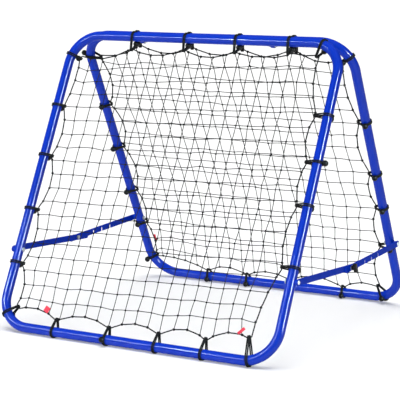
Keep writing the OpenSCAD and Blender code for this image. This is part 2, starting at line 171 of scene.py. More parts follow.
# Elastic loops, clockwise from the top left corner: (way to the net's middle in degrees, place
# along a straight tube, tube centre to rope, inward bow of the rope up to the next loop, ball's
# place round the tube). The way is 0 on the left tube, 90 on the top, 180 on the right, 270 on
# the bottom and between those on a bend. Places and distances are in millimetres.
LOOP_ROWS = {
    "front": [
        (17, 0, 40, 19, 45),
        (90, -256, 44, 19, 48),
        (90, -61, 40, 20, 50),
        (90, 123, 41, 15, 50),
        (90, 306, 34, 4, 50),
        (110.5, 0, 40, 13, 60),
        (180, 233, 41, 15, 90),
        (180, 381, 36, 11, 180),
        (180, 517, 36, 14, 90),
        (180, 707, 39, 10, 90),
        (258, 0, 69, 16, 80),
        (270, 253.5, 46, 20, 80),
        (270, 93, 42, 19, 80),
        (270, -83, 38, 20, 255),
        (270, -276, 39, 15, 80),
        (322, 0, 40, 15, 90),
        (0, 792, 30, 18, 90),
        (0, 609, 32, 21, 90),
        (0, 426, 31, 16, 90),
        (0, 252, 28, 7, 90),
    ],
    "rear": [
        (13, 0, 39, 14, 180),
        (90, -274, 37, 24, 20),
        (90, -77, 38, 22, 20),
        (90, 106, 38, 23, 20),
        (90, 295, 39, 20, 20),
        (152, 0, 34, 14, 30),
        (180, 285, 25, 20, 105),
        (180, 481, 24, 13, 100),
        (180, 613, 24, 15, 105),
        (180, 770, 38, 19, 105),
        (245.5, 0, 43, 15, 80),
        (270, 273.5, 26, 26, 80),
        (270, 73, 30, 20, 80),
        (270, -97, 30, 21, 80),
        (270, -256, 29, 14, 80),
        (341, 0, 25, 10, 120),
        (0, 772, 25, 12, 90),
        (0, 630, 25, 22, 105),
        (0, 446, 25, 26, 105),
        (0, 272, 25, 23, 90),
    ],
}
Loop = namedtuple("Loop", "way place reach bow ball")
LOOPS = {
    side: [
        Loop(way, place * MM, reach * MM, bow * MM, ball)
        for way, place, reach, bow, ball in rows
    ]
    for side, rows in LOOP_ROWS.items()
}
GROUND_WAY = 270

# The rope runs straight for HOOK_HALF each way from a loop. The gaps are those round the tube
# and the rope, and the steps are the distances between the points of a rope or cord.
HOOK_HALF = 0.008
BALL_GAP = 0.0003
BAND_GAP = 0.00015
EYE_GAP = 0.0001
ROPE_STEP = 0.005
CORD_STEP = 0.004
CORD_BEND_STEP = 0.0022

# Nets: knots each way, the outer ones on the border rope
KNOTS = 20
NET_GRIDS = {
    # left column, column pitch, first row at the middle, its slope, last row, its slope,
    # sideways pull of the lowest rows
    "front": (-0.448, 0.0452, 0.099, -0.035, 0.893, -0.028, 0.0),
    "rear": (-0.431, 0.0461, 0.104, 0.0, 0.901, 0.0, -0.040),
}

# Distance down the frame of the nets' foot and X of their sides, where their strands' places
# against the rope are read
NET_FOOT = 0.95
NET_LEFT = -0.44
NET_RIGHT = 0.43

# The rope's scallops go on into the net, as a share of their depth in the first row that decays
# with each row farther in
WAVE_SHARE = 0.42
WAVE_DECAY = 0.5

# Each strand draws the rope in at its end, over this spread. The upright strands are shifted one
# way along Y and the level ones the other way, and each bows between its knots.
PULL = 0.0016
PULL_SPREAD = 0.008
NET_SAG = 0.006
CROSSING_SHIFT = 0.0004
STRAND_SLACK = (0.0005, 0.0007, 0.0005)
KNOT_SIZE = 0.0027

# Tags: (X, distance down the frame, turn in degrees, length, width, curl)
TAGS = {
    "front": [
        (-0.320, 0.929, 26, 0.020, 0.019, 0.0015),
        (0.364, 0.911, -45, 0.026, 0.008, 0.003),
    ],
    "rear": [(-0.448, 0.847, 94, 0.032, 0.008, 0.003)],
}
TAG_T = 0.0008
TAG_RIPPLE = 0.0006

# Stage. The world's strength is one for what it lights and another for what the camera sees. The
# sensor and the focal length are in millimetres, the camera's turns in radians.
FLOOR_SIZE = 60
WORLD_LIGHT = 0.16
WORLD_SEEN = 1.0
SUNS = (
    # name, strength, spread, way from the front to the right, height; angles in degrees
    ("overhead", 3.0, 60, 0, 90),
    ("key", 2.5, 30, 4, 28),
)
STRIPS = (
    # name, place, aim, width, height, watts
    ("left_panel", (-0.93, -1.9, 1.45), (-0.485, -0.35, 0.25), 0.035, 0.46, 15),
    ("right_strip", (3.8, -1.1, 2.0), (0.1, 0, 0.45), 0.08, 2.2, 480),
    ("front_strip", (-1.9, -3.1, 2.0), (0, 0, 0.45), 1.5, 0.08, 90),
)
STRIP_COLOUR = (0.74, 0.95, 1.0)
SENSOR_WIDTH = 36
FOCAL_LENGTH = 138.57
LENS_SHIFT = (0.0558, 0.0217)
CAMERA_PLACE = (2.4159, -4.2694, 1.1995)
CAMERA_YAW, CAMERA_PITCH, CAMERA_ROLL = 0.53417, 0.16988, -0.00272


# ---------- settings a user may change ----------


class RebounderSizes(bpy.types.PropertyGroup):
    """Sizes of the soft and the small pieces."""

    rope: FloatProperty(
        name="Border rope", description="Diameter of the border rope",
        default=0.004, min=0.002, unit="LENGTH",
    )
    twine: FloatProperty(
        name="Net twine", description="Diameter of the net's twine",
        default=0.0025, min=0.001, unit="LENGTH",
    )
    cord: FloatProperty(
        name="Elastic cord", description="Diameter of the elastic cord",
        default=0.0045, min=0.002, unit="LENGTH",
    )
    ball: FloatProperty(
        name="Ball", description="Diameter of the balls on the elastic loops",
        default=0.019, min=0.010, unit="LENGTH",
    )
    looseness: FloatProperty(
        name="Looseness", description="How far a knot of the net usually strays from its place",
        default=0.0016, min=0.0, unit="LENGTH",
    )


class RebounderColours(bpy.types.PropertyGroup):
    """Colours of the finishes."""

    paint: FloatVectorProperty(
        name="Frame paint", description="Powder coat on the tubes",
        default=(0.0025, 0.027, 0.38), subtype="COLOR", min=0, max=1,
    )
    steel: FloatVectorProperty(
        name="Zinc plate", description="Bolts, nuts and washers",
        default=(0.60, 0.62, 0.65), subtype="COLOR", min=0, max=1,
    )
    cord: FloatVectorProperty(
        name="Cord", description="Border rope and elastic cord",
        default=(0.002, 0.002, 0.0023), subtype="COLOR", min=0, max=1,
    )
    twine: FloatVectorProperty(
        name="Twine", description="Twine of the nets",
        default=(0.003, 0.003, 0.0035), subtype="COLOR", min=0, max=1,
    )
    plastic: FloatVectorProperty(
        name="Plastic", description="Balls and knobs",
        default=(0.002, 0.002, 0.0023), subtype="COLOR", min=0, max=1,
    )
    tag: FloatVectorProperty(
        name="Tags", description="Blank fabric tags",
        default=(0.80, 0.018, 0.055), subtype="COLOR", min=0, max=1,
    )
    floor: FloatVectorProperty(
        name="Floor", description="Studio floor",
        default=(0.79, 0.79, 0.79), subtype="COLOR", min=0, max=1,
    )


def sizes():
    return bpy.context.scene.rebounder_sizes


def colours():
    return bpy.context.scene.rebounder_colours


# ---------- modelling helpers ----------


def only(obj):
    """Selects obj alone and makes it the active object."""
    bpy.ops.object.select_all(action="DESELECT")
    obj.select_set(True)
    bpy.context.view_layer.objects.active = obj


@contextmanager
def editing(obj, mode="VERT"):
    """Edit mode on obj with nothing selected."""
    only(obj)
    bpy.ops.object.mode_set(mode="EDIT")
    bpy.ops.mesh.select_mode(type=mode)
    bpy.ops.mesh.select_all(action="DESELECT")
    yield
    bpy.ops.object.mode_set(mode="OBJECT")


def extrude(x, y, z):
    bpy.ops.mesh.extrude_region_move(TRANSFORM_OT_translate={"value": (x, y, z)})


def apply_modifier(obj, kind, **settings):
    only(obj)
    modifier = obj.modifiers.new(kind.title(), kind)
    for name, value in settings.items():
        setattr(modifier, name, value)
    bpy.ops.object.modifier_apply(modifier=modifier.name)


def soften(obj, width, segments=2):
    apply_modifier(
        obj, "BEVEL", width=width, segments=segments, limit_method="ANGLE",
        angle_limit=math.radians(SHARP),
    )


def combine(obj, other, operation):
    """Boolean of obj with other, which is then removed."""
    apply_modifier(obj, "BOOLEAN", object=other, operation=operation, solver="EXACT")
    bpy.data.objects.remove(other)


def tidy_mesh(obj):
    """Merges doubles and turns the faces outward."""
    with editing(obj):
        bpy.ops.mesh.select_all(action="SELECT")
        bpy.ops.mesh.remove_doubles(threshold=1e-6)
        bpy.ops.mesh.normals_make_consistent(inside=False)


def move(obj, matrix):
    """Bakes a place into the mesh, with the faces kept outward when the place is mirrored."""
    obj.data.transform(matrix)
    if matrix.determinant() < 0:
        obj.data.flip_normals()
    return obj


def new_object(name, data):
    obj = bpy.data.objects.new(name, data)
    bpy.context.collection.objects.link(obj)
    return obj


def copy_of(obj, matrix):
    twin = obj.copy()
    twin.data = obj.data.copy()
    bpy.context.collection.objects.link(twin)
    return move(twin, matrix)


def joined(pieces):
    only(pieces[0])
    for piece in pieces[1:]:
        piece.select_set(True)
    if len(pieces) > 1:
        bpy.ops.object.join()
    return bpy.context.view_layer.objects.active


def copies(obj, matrices):
    """One object with a copy of obj at each place; obj itself is removed."""
    result = joined([copy_of(obj, matrix) for matrix in matrices])
    bpy.data.objects.remove(obj)
    return result


def both_sides(obj):
    """A piece of the right side together with its mirror image on the left."""
    return copies(obj, [Matrix.Identity(4), TO_LEFT])


def new_circle(sides, radius, height=0.0, fill="NOTHING"):
    bpy.ops.object.select_all(action="DESELECT")
    bpy.ops.mesh.primitive_circle_add(
        vertices=sides, radius=radius, location=(0, 0, height), fill_type=fill
    )
    obj = bpy.context.object
    bpy.ops.object.transform_apply(location=True)
    return obj


def new_cylinder(sides, radius, depth):
    """A cylinder along Z with its middle at the origin."""
    bpy.ops.object.select_all(action="DESELECT")
    bpy.ops.mesh.primitive_cylinder_add(vertices=sides, radius=radius, depth=depth)
    return bpy.context.object


def turned(profile, sides=32, ring=False):
    """A round piece about Z from (radius, height) points; a ring's profile closes on itself."""
    radius, height = profile[0]
    obj = new_circle(sides, radius, height, "NOTHING" if ring else "NGON")
    with editing(obj):
        bpy.ops.mesh.select_all(action="SELECT")
        for next_radius, next_height in profile[1:] + (profile[:1] if ring else []):
            extrude(0, 0, next_height - height)
            if next_radius != radius:
                share = next_radius / radius
                bpy.ops.transform.resize(
                    value=(share, share, 1), center_override=(0, 0, next_height)
                )
            radius, height = next_radius, next_height
    tidy_mesh(obj)
    return obj


def arc(centre, radius, start, end, steps):
    """(X, Y) points on an arc between two angles, both ends included."""
    turns = [start + (end - start) * step / steps for step in range(steps + 1)]
    return [
        (centre[0] + radius * math.cos(turn), centre[1] + radius * math.sin(turn))
        for turn in turns
    ]


def slab(outline, low, thickness):
    """A flat piece with an outline in XY, from Z = low to low + thickness."""
    obj = new_circle(len(outline), 1, fill="NGON")
    for vertex, (x, y) in zip(obj.data.vertices, outline):
        vertex.co = (x, y, low)
    with editing(obj, "FACE"):
        bpy.ops.mesh.select_all(action="SELECT")
        extrude(0, 0, thickness)
    tidy_mesh(obj)
    return obj


def plate(outline, x, thickness):
    """A flat piece upright in the YZ plane, from x to x + thickness."""
    return move(slab(outline, x, thickness), UPRIGHT)


def drill(obj, radius, start, end):
    """Cuts a round hole from start to end."""
    axis = end - start
    cutter = new_cylinder(32, radius, axis.length)
    turn = axis.to_track_quat("Z", "Y").to_matrix().to_4x4()
    move(cutter, Matrix.Translation((start + end) / 2) @ turn)
    combine(obj, cutter, "DIFFERENCE")


def bolt_hole(obj, low, high, at):
    """Cuts a hole for a bolt along X at (Y, Z), through what lies from low to high."""
    margin = 0.01
    drill(obj, HOLE_R, Vector((low - margin, *at)), Vector((high + margin, *at)))


def along_x(x, at):
    """Place for a piece drawn along +Z so that it points along +X from (x, Y, Z)."""
    return Matrix.Translation((x, at[0], at[1])) @ Matrix.Rotation(math.pi / 2, 4, "Y")


def tube_mesh(name, runs, sides):
    """One mesh of round cords. Each run is (points, radius or radii, closed).

    The UV map holds the turn round the cord and the distance along it in metres.
    """
    mesh = bpy.data.meshes.new(name)
    vertices, faces, corners = [], [], []
    for points, radii, closed in runs:
        count = len(points)
        radius_at = radii if isinstance(radii, list) else [radii] * count
        first = len(vertices)
        side = None
        along = [0.0]
        for index, point in enumerate(points):
            before = points[index - 1] if index or closed else point
            after = points[(index + 1) % count] if index + 1 < count or closed else point
            heading = (after - before).normalized()
            if side is None:
                side = heading.orthogonal()
            side = (side - side.dot(heading) * heading).normalized()
            other = heading.cross(side)
            for step in range(sides):
                turn = math.tau * step / sides
                offset = math.cos(turn) * side + math.sin(turn) * other
                vertices.append(point + radius_at[index] * offset)
            along.append(along[-1] + (points[(index + 1) % count] - point).length)
        for ring in range(count if closed else count - 1):
            low = first + ring * sides
            high = first + (ring + 1) % count * sides
            for step in range(sides):
                next_step = (step + 1) % sides
                faces.append((low + step, low + next_step, high + next_step, high + step))
                left, right = step / sides, (step + 1) / sides
                bottom, top = along[ring], along[ring + 1]
                corners += [(left, bottom), (right, bottom), (right, top), (left, top)]
        if not closed:
            for ring, order in ((0, -1), (count - 1, 1)):
                base = first + ring * sides
                faces.append(tuple(base + step for step in range(sides))[::order])
                corners += [(0.5, along[ring])] * sides
    mesh.from_pydata(vertices, [], faces)
    layer = mesh.uv_layers.new(name="UVMap")
    layer.data.foreach_set("uv", [number for corner in corners for number in corner])
    mesh.polygons.foreach_set("use_smooth", [True] * len(mesh.polygons))
    return new_object(name, mesh)


def dress(obj, nodes, material, smooth=35):
    """Names the finished piece after its first node, paints it and sets it on that node's body."""
    nodes = [nodes] if isinstance(nodes, str) else nodes
    obj.name = nodes[0] + "_finished"
    obj.data.name = obj.name
    only(obj)
    if smooth:
        bpy.ops.object.shade_smooth_by_angle(angle=math.radians(smooth))
    obj.data.materials.clear()
    obj.data.materials.append(material)
    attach(obj, BODY_OF[nodes[0]])
    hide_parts(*nodes)
    return obj


def dress_pair(piece, node, material, smooth=35):
    """Dresses a mirrored copy of a right-hand piece as the left node, and then the piece."""
    dress(copy_of(piece, TO_LEFT), "left_" + node, material, smooth)
    dress(piece, "right_" + node, material, smooth)


# ---------- materials ----------


class Finish:
    """A material under construction."""

    def __init__(self, name):
        self.material = bpy.data.materials.new(name)
        self.material.use_nodes = True
        self.nodes = self.material.node_tree.nodes
        self.links = self.material.node_tree.links
        self.shader = self.nodes["Principled BSDF"]
        self.place = self.node("ShaderNodeTexCoord")

    def node(self, kind, **settings):
        made = self.nodes.new(kind)
        for name, value in settings.items():
            setattr(made, name, value)
        return made

    def link(self, output, target):
        self.links.new(output, target)

    def set(self, **sockets):
        for name, value in sockets.items():
            label = name.replace("_", " ").title().replace("Ior", "IOR")
            self.shader.inputs[label].default_value = value

    def noise(self, scale, detail=4.0, roughness=0.55, source=None):
        made = self.node("ShaderNodeTexNoise")
        made.inputs["Scale"].default_value = scale
        made.inputs["Detail"].default_value = detail
        made.inputs["Roughness"].default_value = roughness
        self.link(source or self.place.outputs["Object"], made.inputs["Vector"])
        return made.outputs["Fac"]

    def levels(self, source, low, high, start=0.0, end=1.0):
        """Maps a 0 to 1 value onto low to high between start and end."""
        made = self.node("ShaderNodeMapRange")
        for name, value in zip(
            ("From Min", "From Max", "To Min", "To Max"), (start, end, low, high)
        ):
            made.inputs[name].default_value = value
        self.link(source, made.inputs["Value"])
        return made.outputs["Result"]

    def tint(self, source, dark, light):
        """Colours between dark and light by a 0 to 1 value."""
        made = self.node("ShaderNodeValToRGB")
        made.color_ramp.elements[0].color = (*dark, 1)
        made.color_ramp.elements[1].color = (*light, 1)
        made.color_ramp.elements[0].position = 0.3
        made.color_ramp.elements[1].position = 0.7
        self.link(source, made.inputs["Fac"])
        self.link(made.outputs["Color"], self.shader.inputs["Base Color"])

    def waves(self, turns, pitch, lean):
        """Bands that wind round a cord, turns of them at once, each rising by pitch."""
        mapping = self.node("ShaderNodeMapping")
        mapping.inputs["Scale"].default_value = (lean * turns, 1 / pitch, 1)
        self.link(self.place.outputs["UV"], mapping.inputs["Vector"])
        split = self.node("ShaderNodeSeparateXYZ")
        self.link(mapping.outputs["Vector"], split.inputs["Vector"])
        total = self.node("ShaderNodeMath", operation="ADD")
        self.link(split.outputs["X"], total.inputs[0])
        self.link(split.outputs["Y"], total.inputs[1])
        full = self.node("ShaderNodeMath", operation="MULTIPLY")
        full.inputs[1].default_value = math.tau
        self.link(total.outputs["Value"], full.inputs[0])
        wave = self.node("ShaderNodeMath", operation="SINE")
        self.link(full.outputs["Value"], wave.inputs[0])
        return self.levels(wave.outputs["Value"], 0.0, 1.0, -1.0, 1.0)

    def math(self, operation, first, second):
        made = self.node("ShaderNodeMath", operation=operation)
        for index, value in enumerate((first, second)):
            if isinstance(value, (int, float)):
                made.inputs[index].default_value = value
            else:
                self.link(value, made.inputs[index])
        return made.outputs["Value"]

    def bump(self, source, depth, strength=1.0, under=None):
        """Raises the surface by up to depth where source is 1."""
        made = self.node("ShaderNodeBump")
        made.inputs["Distance"].default_value = depth
        made.inputs["Strength"].default_value = strength
        self.link(source, made.inputs["Height"])
        if under is not None:
            self.link(under, made.inputs["Normal"])
        self.link(made.outputs["Normal"], self.shader.inputs["Normal"])
        return made.outputs["Normal"]

    def roughness(self, source, low, high):
        self.link(self.levels(source, low, high), self.shader.inputs["Roughness"])


def shade(colour, share):
    return tuple(min(1.0, part * share) for part in colour)


def paint_finish(name, colour, gloss):
    """Powder coat with fine orange peel and slight clouding; gloss is the share of clear coat."""
    finish = Finish(name)
    finish.set(specular_ior_level=0.0, coat_weight=gloss, coat_roughness=0.12)
    clouds = finish.noise(9, 3)
    finish.tint(clouds, shade(colour, 0.93), shade(colour, 1.06))
    finish.roughness(finish.noise(60, 6), 0.30, 0.42)
    peel = finish.bump(finish.noise(420, 2, 0.4), 0.00006, 0.1)
    finish.bump(finish.noise(2600, 1), 0.00001, 0.1, peel)
    return finish.material


def steel_finish(name, colour):
    """Bright zinc plate with a faint cloudy spangle."""
    finish = Finish(name)
    finish.set(metallic=1.0)
    cloud = finish.noise(180, 5)
    finish.tint(cloud, shade(colour, 0.82), shade(colour, 1.08))
    finish.roughness(finish.noise(900, 3), 0.24, 0.42)
    finish.bump(finish.noise(1400, 2), 0.00003, 0.35)
    return finish.material


def plastic_finish(name, colour):
    """Moulded plastic with a fine spark-eroded grain."""
    finish = Finish(name)
    finish.set(specular_ior_level=0.18)
    finish.tint(finish.noise(120, 3), shade(colour, 0.8), shade(colour, 1.5))
    finish.roughness(finish.noise(600, 3), 0.38, 0.52)
    finish.bump(finish.noise(1900, 2), 0.00004, 0.5)
    return finish.material


def braid_finish(name, colour, carriers, pitch):
    """Braided sheath: two sets of yarns that wind both ways round the cord."""
    finish = Finish(name)
    finish.set(sheen_weight=0.03, sheen_roughness=0.4, specular_ior_level=0.15)
    over = finish.waves(carriers, pitch, 1)
    under = finish.waves(carriers, pitch, -1)
    yarns = finish.math("MAXIMUM", over, under)
    fuzz = finish.noise(2200, 3)
    finish.tint(finish.math("MULTIPLY", yarns, fuzz), shade(colour, 0.6), shade(colour, 2.4))
    finish.roughness(fuzz, 0.55, 0.8)
    base = finish.bump(yarns, 0.0003, 0.8)
    finish.bump(fuzz, 0.00006, 0.5, base)
    return finish.material


def twisted_finish(name, colour, plies, pitch):
    """Laid twine: plies that wind one way, with a dry, slightly grey nap."""
    finish = Finish(name)
    finish.set(sheen_weight=0.05, sheen_roughness=0.5, specular_ior_level=0.15)
    lay = finish.waves(plies, pitch, 1)
    nap = finish.noise(2600, 3)
    finish.tint(finish.math("MULTIPLY", lay, nap), shade(colour, 0.6), shade(colour, 2.4))
    finish.roughness(nap, 0.6, 0.85)
    base = finish.bump(lay, 0.00025, 0.8)
    finish.bump(nap, 0.00004, 0.5, base)
    return finish.material


def fabric_finish(name, colour):
    """Plain-woven tape with a soft sheen."""
    finish = Finish(name)
    finish.set(sheen_weight=0.5, sheen_roughness=0.35)
    warp = finish.waves(34, 1e6, 1)
    weft = finish.waves(0, 1 / 28, 1)
    weave = finish.math("MAXIMUM", warp, weft)
    nap = finish.noise(1500, 3)
    finish.tint(finish.math("MULTIPLY", weave, nap), shade(colour, 0.72), shade(colour, 1.15))
    finish.roughness(nap, 0.6, 0.8)
    finish.bump(weave, 0.0001, 0.7)
    return finish.material


def floor_finish(name, colour):
    """Matt painted studio floor."""
    finish = Finish(name)
    finish.tint(finish.noise(0.8, 3), shade(colour, 0.985), shade(colour, 1.01))
    finish.roughness(finish.noise(30, 3), 0.75, 0.9)
    return finish.material


_finishes = {}


def finish_of(kind):
    """The material of that name, made once."""
    if kind not in _finishes:
        hue = colours()
        makers = {
            "frame_paint": lambda: paint_finish("powder_coat", hue.paint, 0.4),
            "brace_paint": lambda: paint_finish("brace_powder_coat", hue.paint, 0.1),
            "zinc": lambda: steel_finish("zinc_plate", hue.steel),
            "dark_zinc": lambda: steel_finish("dark_zinc_plate", shade(hue.steel, 0.6)),
            "plastic": lambda: plastic_finish("moulded_plastic", hue.plastic),
            "rope": lambda: braid_finish("braided_rope", hue.cord, 4, 0.009),
            "elastic": lambda: braid_finish("elastic_sheath", hue.cord, 6, 0.007),
            "twine": lambda: twisted_finish("net_twine", hue.twine, 3, 0.004),
            "tag": lambda: fabric_finish("tag_fabric", hue.tag),
            "floor": lambda: floor_finish("studio_floor", hue.floor),
        }
        _finishes[kind] = makers[kind]()
    return _finishes[kind]


# ---------- places on a frame ----------


def leg_point(way, s):
    """(Y, Z) of a point on a side tube; way is -1 in front and 1 behind."""
    return (
        way * (TOP_GAP / 2 + s * math.sin(LEAN)),
        TOP_Z - s * math.cos(LEAN),
    )


def inward(way):
    """Direction on the flat frame from the tube to the net's middle."""
    turn = math.radians(way)
    return Vector((math.cos(turn), 0, -math.sin(turn)))


def onward(way):
    """Direction on the flat frame along the tube, clockwise."""
    turn = math.radians(way)
    return Vector((math.sin(turn), 0, math.cos(turn)))


def tube_point(loop):
    """Point of the tube's centre line where a loop sits, on the flat frame."""
    way, place = loop.way, loop.place
    if way % 90:
        centre = Vector((
            (1 if 90 < way < 270 else -1) * (HALF_WIDTH - BEND_R),
            0,
            -BEND_R if way < 180 else BEND_R - FRAME_LENGTH,
        ))
        return centre - BEND_R * inward(way)
    straight = {
        0: (-HALF_WIDTH, 0, -place),
        90: (place, 0, 0),
        180: (HALF_WIDTH, 0, -place),
        270: (place, 0, -FRAME_LENGTH),
    }
    return Vector(straight[way])


def hook_point(loop):
    return tube_point(loop) + loop.reach * inward(loop.way)


def rope_line(side):
    """Closed centre line of the border rope, clockwise, on the flat frame."""
    loops = LOOPS[side]
    points = []
    for index, loop in enumerate(loops):
        following = loops[(index + 1) % len(loops)]
        start = hook_point(loop) + HOOK_HALF * onward(loop.way)
        end = hook_point(following) - HOOK_HALF * onward(following.way)
        for step in (-1.0, -0.5, 0.0, 0.5):
            points.append(hook_point(loop) + step * HOOK_HALF * onward(loop.way))
        span = end - start
        normal = Vector((span.z, 0, -span.x)).normalized()
        steps = max(8, round(span.length / ROPE_STEP))
        for step in range(steps):
            share = step / steps
            bow = 4 * loop.bow * share * (1 - share)
            points.append(start + share * span + bow * normal)
    return points


def crossing(line, axis, value, far_side):
    """Where a closed line crosses a value of X (axis 0) or Z (axis 2), on the side given."""
    other = 2 - axis
    found = []
    for index, here in enumerate(line):
        there = line[(index + 1) % len(line)]
        low, high = here[axis] - value, there[axis] - value
        if low * high <= 0 and low != high:
            found.append(here.lerp(there, low / (low - high)))
    return (max if far_side else min)(found, key=lambda point: point[other])


def knot_grid(side, line):
    """Places of all knots on the flat frame, by column and row; the outer ones are on the rope."""
    left, pitch, top, top_slope, low, low_slope, pull = NET_GRIDS[side]
    draw = random.Random(side)
    rows = KNOTS - 2
    slack = sizes().looseness

    def sideways(s):
        begin, reach, power = 0.60, 0.30, 1.3
        return pull * max(0.0, (s - begin) / reach) ** power

    def height(row, x):
        start = top + top_slope * x
        end = low + low_slope * x
        return start + (end - start) * (row - 1) / (rows - 1)

    column_x = [left + pitch * column for column in range(KNOTS)]
    inner = range(1, KNOTS - 1)
    tops = {c: crossing(line, 0, column_x[c], True) for c in inner}
    lows = {c: crossing(line, 0, column_x[c] + sideways(NET_FOOT), False) for c in inner}
    lefts = {r: crossing(line, 2, -height(r, NET_LEFT), False) for r in inner}
    rights = {r: crossing(line, 2, -height(r, NET_RIGHT), True) for r in inner}

    def waves(ends, axis):
        mean = sum(end[axis] for end in ends.values()) / len(ends)
        return {key: WAVE_SHARE * (end[axis] - mean) for key, end in ends.items()}

    top_wave, low_wave = waves(tops, 2), waves(lows, 2)
    left_wave, right_wave = waves(lefts, 0), waves(rights, 0)
    grid = {}
    for c in inner:
        for r in inner:
            x = column_x[c]
            s = height(r, x)
            x += sideways(s)
            x += left_wave[r] * WAVE_DECAY ** (c - 1) + right_wave[r] * WAVE_DECAY ** (rows - c)
            z = -s + top_wave[c] * WAVE_DECAY ** (r - 1) + low_wave[c] * WAVE_DECAY ** (rows - r)
            grid[c, r] = Vector((x + draw.gauss(0, slack), 0, z + draw.gauss(0, slack)))
        grid[c, 0] = tops[c]
        grid[c, KNOTS - 1] = lows[c]
    for r in inner:
        grid[0, r] = lefts[r]
        grid[KNOTS - 1, r] = rights[r]
    return grid


# ---------- operators ----------


class REBOUNDER_OT_stage(bpy.types.Operator):
    """Adds the floor, the lights and the camera"""

    bl_idname = "rebounder.stage"
    bl_label = "Stage"

    def floor(self):
        bpy.ops.object.select_all(action="DESELECT")
        bpy.ops.mesh.primitive_plane_add(size=FLOOR_SIZE)
        floor = bpy.context.object
        floor.name = "studio_floor"
        floor.data.materials.append(finish_of("floor"))

    def world(self):
        """A white world with one strength for what it lights and one for the camera."""
        world = bpy.data.worlds.new("studio")
        bpy.context.scene.world = world
        world.use_nodes = True
        tree = world.node_tree
        background = tree.nodes["Background"]
        background.inputs["Color"].default_value = (1, 1, 1, 1)
        path = tree.nodes.new("ShaderNodeLightPath")
        level = tree.nodes.new("ShaderNodeMapRange")
        level.inputs["To Min"].default_value = WORLD_LIGHT
        level.inputs["To Max"].default_value = WORLD_SEEN
        tree.links.new(path.outputs["Is Camera Ray"], level.inputs["Value"])
        tree.links.new(level.outputs["Result"], background.inputs["Strength"])

    def suns(self):
        """Suns that give no highlights; the overhead one alone casts shadows."""
        for name, strength, spread, way, height in SUNS:
            sun = bpy.data.lights.new(name, "SUN")
            sun.energy = strength
            sun.angle = math.radians(spread)
            sun.use_shadow = name == "overhead"
            holder = new_object(name, sun)
            holder.rotation_euler = (math.radians(90 - height), 0, math.radians(way))
            holder.visible_glossy = False

    def strips(self):
        """Strip lamps that give highlights and no other light."""
        for name, place, aim, width, height, watts in STRIPS:
            lamp = bpy.data.lights.new(name, "AREA")
            lamp.shape = "RECTANGLE"
            lamp.size = width
            lamp.size_y = height
            lamp.energy = watts
            lamp.color = STRIP_COLOUR
            holder = new_object(name, lamp)
            holder.location = place
            direction = Vector(aim) - Vector(place)
            holder.rotation_euler = direction.to_track_quat("-Z", "Y").to_euler()
            holder.visible_diffuse = False

    def camera(self):
        lens = bpy.data.cameras.new("camera")
        lens.sensor_width = SENSOR_WIDTH
        lens.lens = FOCAL_LENGTH
        lens.shift_x, lens.shift_y = LENS_SHIFT
        lens.clip_end = 200
        camera = new_object("camera", lens)
        camera.matrix_world = (
            Matrix.Translation(CAMERA_PLACE)
            @ Matrix.Rotation(CAMERA_YAW, 4, "Z")
            @ Matrix.Rotation(math.pi / 2 - CAMERA_PITCH, 4, "X")
            @ Matrix.Rotation(CAMERA_ROLL, 4, "Z")
        )
        bpy.context.scene.camera = camera

    def execute(self, context):
        self.floor()
        self.world()
        self.suns()
        self.strips()
        self.camera()
        context.scene.view_settings.view_transform = "Standard"
        return {"FINISHED"}


class REBOUNDER_OT_tubes(bpy.types.Operator):
    """Bends the upper and lower half of each tube frame"""

    bl_idname = "rebounder.tubes"
    bl_label = "Tube frames"

    def bent(self, leg, rings=()):
        """A U of tube, open downward, whose legs end at leg below its top line.

        The legs have extra rings beside their bends and at the distances in rings, so that the
        shading of a bend or of a hole stays where it is.
        """
        straight = HALF_WIDTH - BEND_R
        levels = [BEND_R, BEND_R + RING_GAP, *rings, leg]
        steps = [high - low for low, high in zip(levels, levels[1:])]
        tube = new_circle(TUBE_SIDES, TUBE_R)
        move(tube, Matrix.Translation((-HALF_WIDTH, 0, -leg)))
        with editing(tube):
            bpy.ops.mesh.select_all(action="SELECT")
            for step in reversed(steps):
                extrude(0, 0, step)
            for centre_x in (-straight, straight):
                bpy.ops.mesh.spin(
                    steps=BEND_STEPS, angle=-math.pi / 2, center=(centre_x, 0, -BEND_R),
                    axis=(0, 1, 0),
                )
                if centre_x < 0:
                    for step in (RING_GAP, 2 * straight - 2 * RING_GAP, RING_GAP):
                        extrude(step, 0, 0)
            for step in steps:
                extrude(0, 0, -step)
        tidy_mesh(tube)
        apply_modifier(tube, "SOLIDIFY", thickness=TUBE_WALL, offset=-1)
        soften(tube, 0.0003)
        return tube

    def spigots(self):
        """The reduced ends that plug the upper half into the lower one."""
        bore, low, high = SPIGOT_R - TUBE_WALL, -JOINT - SPIGOT_LENGTH, SPIGOT_ROOT - JOINT
        taper = 0.0006
        profile = [
            (bore, low),
            (SPIGOT_R - taper, low),
            (SPIGOT_R, low + 2 * taper),
            (SPIGOT_R, high),
            (bore, high),
        ]
        spigot = turned(profile, TUBE_SIDES, ring=True)
        return both_sides(move(spigot, Matrix.Translation((HALF_WIDTH, 0, 0))))

    def execute(self, context):
        lower_leg = FRAME_LENGTH - JOINT
        flip = Matrix.Translation((0, 0, -FRAME_LENGTH)) @ Matrix.Diagonal((1, 1, -1, 1))
        for side, bolt_s in (("front", FRONT_BOLT_S), ("rear", REAR_BOLT_S)):
            upper = move(joined([self.bent(JOINT), self.spigots()]), PLANES[side])
            dress(upper, side + "_upper_tube", finish_of("frame_paint"), CRISP)
            hole, beside = FRAME_LENGTH - bolt_s, HOLE_R + RING_GAP
            lower = move(self.bent(lower_leg - JOINT_GAP, [hole - beside, hole + beside]), flip)
            for x in (-HALF_WIDTH, HALF_WIDTH):
                bolt_hole(lower, x - TUBE_R, x + TUBE_R, (0, -bolt_s))
            move(lower, PLANES[side])
            dress(lower, side + "_lower_tube", finish_of("frame_paint"), CRISP)
        return {"FINISHED"}


